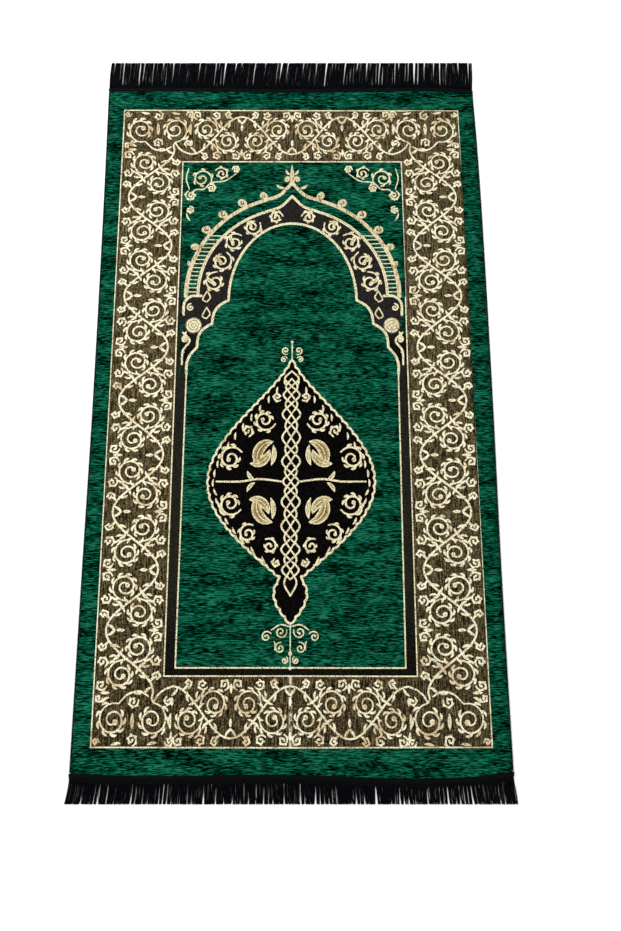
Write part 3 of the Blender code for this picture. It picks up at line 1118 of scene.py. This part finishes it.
def build_panel():
    """The whole woven sheet as one closed mesh: figured top, plain back and thin rim."""
    figure = Figure()
    draw_border(figure)
    draw_frames(figure)
    draw_crest(figure)
    draw_niche(figure)
    draw_medallion(figure)
    crest, ribs = Figure(), Figure()
    draw_crest(crest)
    for row in [(VEIN_WIDTHS, points, 0.0) for _, points, _ in lilies()]:
        ribs.draw(row, same)
    half_width = (CLOTH_WIDTH / 2 - SERGING_WIDTH - GAP) / MM
    half_length = (CLOTH_LENGTH / 2 + TAPE_LAP) / MM
    places, faces, area, ring_size = panel_triangles(figure, crest, ribs, half_width, half_length)
    x, y = places.T
    lean = read_rows(DESIGN_LEAN, y * MM / (CLOTH_LENGTH / 2))
    lean = lean * np.clip(1 - (x / OUTER_FRAME[0]) ** 2, 0, 1)
    across, along = (x + lean) * MM, y * MM
    flat_x, flat_y = lying(across, along)
    top = np.stack([flat_x, flat_y, PANEL_THICKNESS + rise(across, along)], 1)

    ring = outline_ring(half_width, half_length, MESH_PITCH)
    under = np.vstack([ring, grid_inside(half_width, half_length, 4 * MESH_PITCH)])
    under_places, under_faces, _ = triangulated(under, [(k, (k + 1) % len(ring)) for k in range(len(ring))])
    bottom_x, bottom_y = lying(under_places[:, 0] * MM, under_places[:, 1] * MM)
    bottom = np.stack([bottom_x, bottom_y, np.zeros(len(bottom_x))], 1)
    corners = under_places[under_faces]
    one, two = corners[:, 1] - corners[:, 0], corners[:, 2] - corners[:, 0]
    upward = one[:, 0] * two[:, 1] - one[:, 1] * two[:, 0] > 0
    under_faces[upward] = under_faces[upward][:, ::-1]
    base = len(top)
    here = np.arange(ring_size)
    ahead = (here + 1) % ring_size
    rim = np.concatenate([
        np.stack([base + here, base + ahead, ahead], 1),
        np.stack([base + here, ahead, here], 1),
    ])
    everything = np.concatenate([faces, under_faces + base, rim])
    slots = np.concatenate([area, np.full(len(under_faces) + len(rim), GREEN)])
    smooth = np.concatenate([np.ones(len(faces), bool), np.zeros(len(under_faces) + len(rim), bool)])
    points = np.vstack([top, bottom])
    low, high = points.min(0), points.max(0)
    spread = (points[:, :2] - low[:2]) / (high[:2] - low[:2])
    on_top = (np.arange(len(points)) < base)[:, None]
    uv = np.where(on_top, spread * (0.98, 0.86) + 0.01, spread * (0.98, 0.10) + 0.88)
    return new_mesh("woven_cloth_panel", points, everything, panel_materials(), slots, smooth, uv[everything])


def panel_materials():
    made = {
        GREEN: chenille_green(),
        BORDER: border_ground(),
        GOLD: gold_thread("light_gold", (242, 234, 200), (212, 190, 152), (112, 97, 64), (520, 620, 1), 60),
        OLD_GOLD: gold_thread("old_gold", (182, 167, 118), (164, 143, 96), (84, 66, 34), (460, 560, 1), 80),
        # In each dark weave, the number after the rib's turn is the depth of its painted shade towards the near
        # end.
        BLACK: dark_weave("figure_black", (2, 1, 1), (28, 25, 25), (64, 60, 60), 32, 0.26, 0.13, 0.06),
        TWILL: dark_weave("band_twill", (4, 4, 2), (24, 25, 19), (56, 57, 49), -38, 0.14, -0.30, -0.42),
        TAN_GOLD: gold_thread(
            "tan_gold",
            (210, 196, 158),
            (190, 166, 126),
            (104, 86, 52),
            (560, 150, 1),
            60,
        ),
        FIGURE_GOLD: gold_thread(
            "figure_gold",
            (232, 222, 184),
            (208, 193, 147),
            (104, 88, 48),
            (520, 620, 1),
            70,
        ),
        BROWN: gold_thread("brown_gold", (136, 110, 66), (118, 92, 52), (58, 42, 18), (460, 560, 1), 80),
    }
    return [made[k] for k in sorted(made)]


def swept(sections):
    """Points and quads of a run of like rings, capped at both ends."""
    sections = np.asarray(sections)
    count, size, _ = sections.shape
    points = sections.reshape(-1, 3)
    faces = []
    for k in range(count - 1):
        for i in range(size):
            j = (i + 1) % size
            faces.append((k * size + i, k * size + j, (k + 1) * size + j, (k + 1) * size + i))
    faces.append(tuple(range(size))[::-1])
    faces.append(tuple(range((count - 1) * size, count * size)))
    return points, faces


def closed_piece(name, points, faces, material, smooth=True):
    """A piece from closed shells whose faces may point either way: turns them outwards."""
    mesh = bpy.data.meshes.new(name)
    mesh.from_pydata(np.asarray(points).tolist(), [], [list(map(int, face)) for face in faces])
    shell = bmesh.new()
    shell.from_mesh(mesh)
    bmesh.ops.recalc_face_normals(shell, faces=shell.faces)
    shell.to_mesh(mesh)
    shell.free()
    mesh.polygons.foreach_set("use_smooth", [smooth] * len(mesh.polygons))
    mesh.materials.append(material)
    piece = bpy.data.objects.new(name, mesh)
    bpy.context.scene.collection.objects.link(piece)
    return piece


def tubes(paths, radii, sides):
    """Points and faces of many thin tubes. paths is (tubes, points, 3), and radii (tubes, points)."""
    count, length, _ = paths.shape
    way = np.gradient(paths, axis=1)
    way /= np.linalg.norm(way, axis=2, keepdims=True)
    aside = np.cross(way, (0.0, 0.0, 1.0))
    aside /= np.linalg.norm(aside, axis=2, keepdims=True)
    above = np.cross(aside, way)
    angle = np.arange(sides) * 2 * math.pi / sides + math.pi / 2
    ring = aside[:, :, None] * np.cos(angle)[:, None] + above[:, :, None] * np.sin(angle)[:, None]
    points = (paths[:, :, None] + ring * radii[:, :, None, None]).reshape(-1, 3)
    faces = []
    for tube in range(count):
        base = tube * length * sides
        for k in range(length - 1):
            for i in range(sides):
                j = (i + 1) % sides
                low, high = base + k * sides, base + (k + 1) * sides
                faces.append((low + i, low + j, high + j, high + i))
        faces.append(tuple(base + i for i in reversed(range(sides))))
        faces.append(tuple(base + (length - 1) * sides + i for i in range(sides)))
    return points, faces


def build_serging(name, side, material):
    """Overcast edge: a core bead wrapped by slanting stitches that leave a slightly jagged line."""
    end = CLOTH_LENGTH / 2 - GAP
    inner = CLOTH_WIDTH / 2 - SERGING_WIDTH
    middle = inner + SERGING_WIDTH / 2
    across_radius, up_radius = SERGING_WIDTH / 2 - 0.0004, SERGING_HEIGHT / 2 - 0.0005
    loop_radius = SERGING_HEIGHT / 2 - STITCH_RADIUS
    sections = []
    for along in np.linspace(-end, end, 150):
        ring = []
        for turn in np.arange(8) * math.pi / 4:
            x, y = lying(side * (middle + across_radius * math.cos(turn)), along)
            ring.append((float(x), float(y), SERGING_HEIGHT / 2 + up_radius * math.sin(turn)))
        sections.append(ring)
    points, faces = swept(sections)
    count = int(2 * end / STITCH_PITCH)
    paths = np.empty((count, 9, 3))
    for k in range(count):
        start = -end + (k + 0.5) * STITCH_PITCH + rng.uniform(-0.0003, 0.0003)
        swell = rng.uniform(0.92, 1.12)
        for step, turn in enumerate(np.linspace(-0.75 * math.pi, 1.15 * math.pi, 9)):
            out = middle + swell * (across_radius + 0.0002) * math.cos(turn)
            x, y = lying(side * out, np.clip(start + 0.0021 * step / 8, -end, end))
            paths[k, step] = (x, y, SERGING_HEIGHT / 2 + loop_radius * math.sin(turn))
    radii = np.full((count, 9), STITCH_RADIUS)
    more, quads = tubes(paths, radii, 4)
    quads = [tuple(i + len(points) for i in face) for face in quads]
    return closed_piece(name, np.vstack([points, more]), faces + quads, material)


def build_tape(name, end, material):
    """Heading tape: a narrow folded band whose edges waver a little, with two sewn lines."""
    past = TAPE_LAP + GAP
    lap_height = PANEL_THICKNESS + GAP
    lap_top = lap_height + TAPE_THICKNESS
    profile = (
        (past, 0.0),
        (TAPE_WIDTH, 0.0),
        (TAPE_WIDTH, TAPE_EDGE_HEIGHT * 0.7),
        (TAPE_WIDTH - 0.0006, TAPE_EDGE_HEIGHT),
        (past + TAPE_STEP + 0.0012, TAPE_EDGE_HEIGHT + 0.0003), (past + TAPE_STEP, lap_top - 0.0004),
        (past, lap_top), (0.0022, lap_top - 0.00015), (0.0012, lap_top), (0.0004, lap_top - 0.0001),
        (0.0, lap_height + 0.0004), (0.0002, lap_height), (past, lap_height),
    )
    sections = []
    count = 420
    for k, across in enumerate(np.linspace(-CLOTH_WIDTH / 2, CLOTH_WIDTH / 2, count)):
        pucker = 0.00016 * math.sin(k * 1.9) + rng.uniform(-0.00012, 0.00012)
        ring = []
        for out, height in profile:
            x, y = lying(across, end * (CLOTH_LENGTH / 2 + out))
            lift = pucker if height > lap_height - 0.0001 and out < past else 0.0
            shift = rng.uniform(-0.00012, 0.00012) if out < 0.001 else 0.0
            ring.append((float(x), float(y) + shift, height + max(lift, -0.0001)))
        sections.append(ring)
    points, faces = swept(sections)
    return closed_piece(name, points, faces, material)


def build_fringe(name, end, tip_line, lean, material):
    """A trimmed fringe: a short band, then many fine strands gathered in tufts that lean and overlap."""
    start = CLOTH_LENGTH / 2 + TAPE_WIDTH + GAP
    edge = CLOTH_WIDTH / 2
    band = []
    for across in np.linspace(-edge + 0.0003, edge - 0.0003, 160):
        ring = []
        for out, height in ((0.0, 0.0002), (BAND_LENGTH, 0.0001), (BAND_LENGTH, 0.0012), (0.0, 0.0017)):
            x, y = lying(across, end * (start + out))
            ring.append((float(x), float(y), height + rng.uniform(0, 0.0001)))
        band.append(ring)
    points, faces = swept(band)
    count = TUFTS * STRANDS_A_TUFT
    paths = np.empty((count, STRAND_POINTS, 3))
    radii = np.empty((count, STRAND_POINTS))
    pitch = CLOTH_WIDTH / TUFTS
    for tuft in range(TUFTS):
        left = -edge + tuft * pitch
        centre = left + pitch * rng.uniform(0.35, 0.65)
        tuft_lean = rng.gauss(0, 0.0008)
        pinch = 0.38 * rng.random() ** 1.4
        opens = rng.uniform(0.1, 0.5)
        for s in range(STRANDS_A_TUFT):
            base = left + pitch * (s + rng.uniform(0.1, 0.9)) / STRANDS_A_TUFT
            base = min(max(base, -edge + 0.0006), edge - 0.0006)
            x0, y0 = lying(base, end * (start + 0.0004))
            x0, y0 = float(x0), float(y0)
            tip = tip_line - end * abs(rng.gauss(0, 0.0007))
            drift = float(read_rows(lean, base / edge)) + tuft_lean + rng.gauss(0, 0.00035)
            curl = rng.gauss(0, 0.0005)
            low, high = rng.uniform(0.0006, 0.0012), rng.uniform(0.0007, 0.0017)
            for step in range(STRAND_POINTS):
                part = step / (STRAND_POINTS - 1)
                gather = pinch * (centre - base) * min(part / opens, 1.0)
                x = x0 + gather + drift * part**1.4 + curl * math.sin(math.pi * part)
                y = y0 + (tip - y0) * part
                z = high + (low - high) * part + 0.0005 * math.sin(math.pi * part) * rng.uniform(0, 1)
                paths[tuft * STRANDS_A_TUFT + s, step] = (x, y, z)
                radii[tuft * STRANDS_A_TUFT + s, step] = STRAND_RADIUS * (1.12 - 0.2 * part)
    more, quads = tubes(paths, radii, 3)
    quads = [tuple(i + len(points) for i in face) for face in quads]
    return closed_piece(name, np.vstack([points, more]), faces + quads, material)


def place_piece(piece, node):
    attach(piece, "root")
    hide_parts(node)


def build_pieces():
    panel = build_panel()
    place_piece(panel, "woven_panel")
    thread = thread_black("edge_thread", (0, 10, 6), (8, 52, 37), (500, 700, 500))
    tape = thread_black("heading_tape", (0, 1, 2), (4, 9, 13), (300, 900, 300))
    yarn = thread_black("fringe_yarn", (0, 1, 3), (6, 9, 14), (700, 30, 700), 0.6, 0.05)
    left = build_serging("edge_thread_left", -1, thread)
    right = build_serging("edge_thread_right", 1, thread)
    far_tape = build_tape("heading_tape_far", 1, tape)
    near_tape = build_tape("heading_tape_near", -1, tape)
    far_fringe = build_fringe("fringe_yarn_far", 1, FAR_TIP_LINE, FAR_LEAN, yarn)
    near_fringe = build_fringe("fringe_yarn_near", -1, NEAR_TIP_LINE, NEAR_LEAN, yarn)
    place_piece(left, "side_serging_left")
    place_piece(right, "side_serging_right")
    place_piece(far_tape, "fringe_tape_far")
    place_piece(near_tape, "fringe_tape_near")
    place_piece(far_fringe, "fringe_far")
    place_piece(near_fringe, "fringe_near")


def area_light(name, place, size, power, aim):
    data = bpy.data.lights.new(name, "AREA")
    data.shape = "DISK"
    data.size = size
    data.energy = power
    light = bpy.data.objects.new(name, data)
    light.location = place
    light.rotation_euler = (Vector(aim) - Vector(place)).to_track_quat("-Z", "Y").to_euler()
    bpy.context.scene.collection.objects.link(light)


def build_stage():
    """Plain white floor, even light from all round, one soft key light, and the camera."""
    scene = bpy.context.scene
    scene.view_settings.view_transform = "Standard"
    world = bpy.data.worlds.new("studio")
    world.use_nodes = True
    world.node_tree.nodes["Background"].inputs["Color"].default_value = (1.0, 1.0, 1.0, 1.0)
    world.node_tree.nodes["Background"].inputs["Strength"].default_value = 0.75
    scene.world = world
    area_light("key", (-1.2, 1.0, 2.6), 1.6, 62.0, (0.0, 0.0, 0.0))

    floor_look = Material("floor_white", 0.9)
    floor_look.shader.inputs["Base Color"].default_value = (0.95, 0.95, 0.95, 1.0)
    corners = [(x * FLOOR_HALF, y * FLOOR_HALF, -FLOOR_DROP) for x, y in ((-1, -1), (1, -1), (1, 1), (-1, 1))]
    floor = new_mesh("floor", corners, [(0, 1, 2, 3)], [floor_look.material])

    tilt = math.radians(CAMERA_TILT)
    camera = bpy.data.objects.new("camera", bpy.data.cameras.new("camera"))
    camera.location = (0.0, CAMERA_AIM - CAMERA_DISTANCE * math.sin(tilt), CAMERA_DISTANCE * math.cos(tilt))
    camera.rotation_euler = (tilt, 0.0, 0.0)
    camera.data.lens = 26.9
    camera.data.sensor_width = 36.0
    camera.data.shift_x = 0.020
    camera.data.shift_y = -0.1227
    scene.collection.objects.link(camera)
    scene.camera = camera


build_stage()
build_pieces()
bpy.context.view_layer.update()
